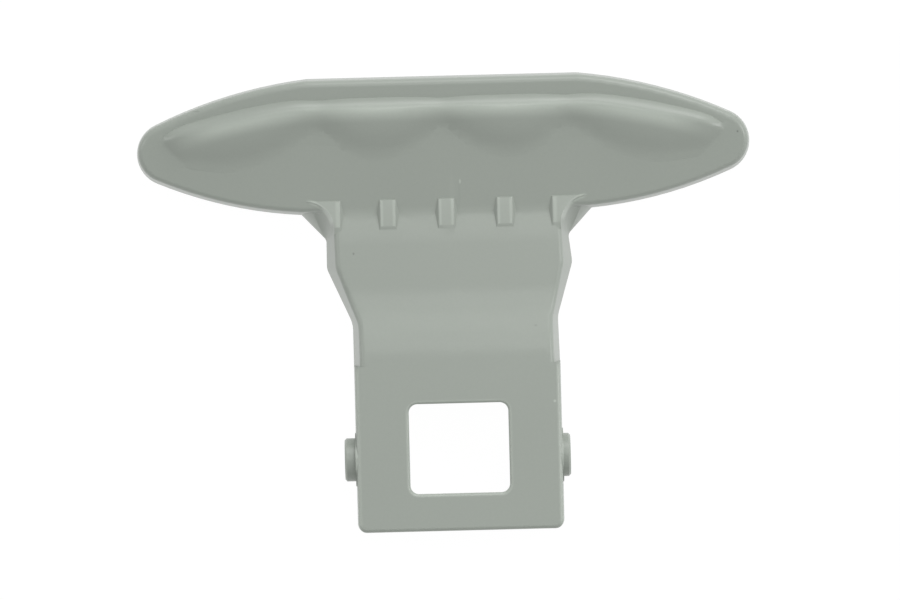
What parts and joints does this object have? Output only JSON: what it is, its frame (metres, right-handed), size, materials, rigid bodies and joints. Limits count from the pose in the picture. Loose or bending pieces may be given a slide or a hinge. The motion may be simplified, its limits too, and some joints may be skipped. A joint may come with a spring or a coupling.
{
  "type": "washing machine door handle",
  "caption": "Hollow moulded T-shaped door handle: a spindle-shaped grip with finger swellings, a waisted stem with a square window, and a stub pivot pin on each side.",
  "frame": {"origin": "middle of the pivot axis, on the stem's centre line, level with the centres of the two stub pins", "axes": "+X along the pivot axis, +Y from the pivot towards the grip, +Z out of the visible face"},
  "size_m": [0.128, 0.0952, 0.0147],
  "materials": {
    "plastic": "satin"
  },
  "bodies": {
    "root": {"door_handle": "plastic"}
  },
  "joints": []
}
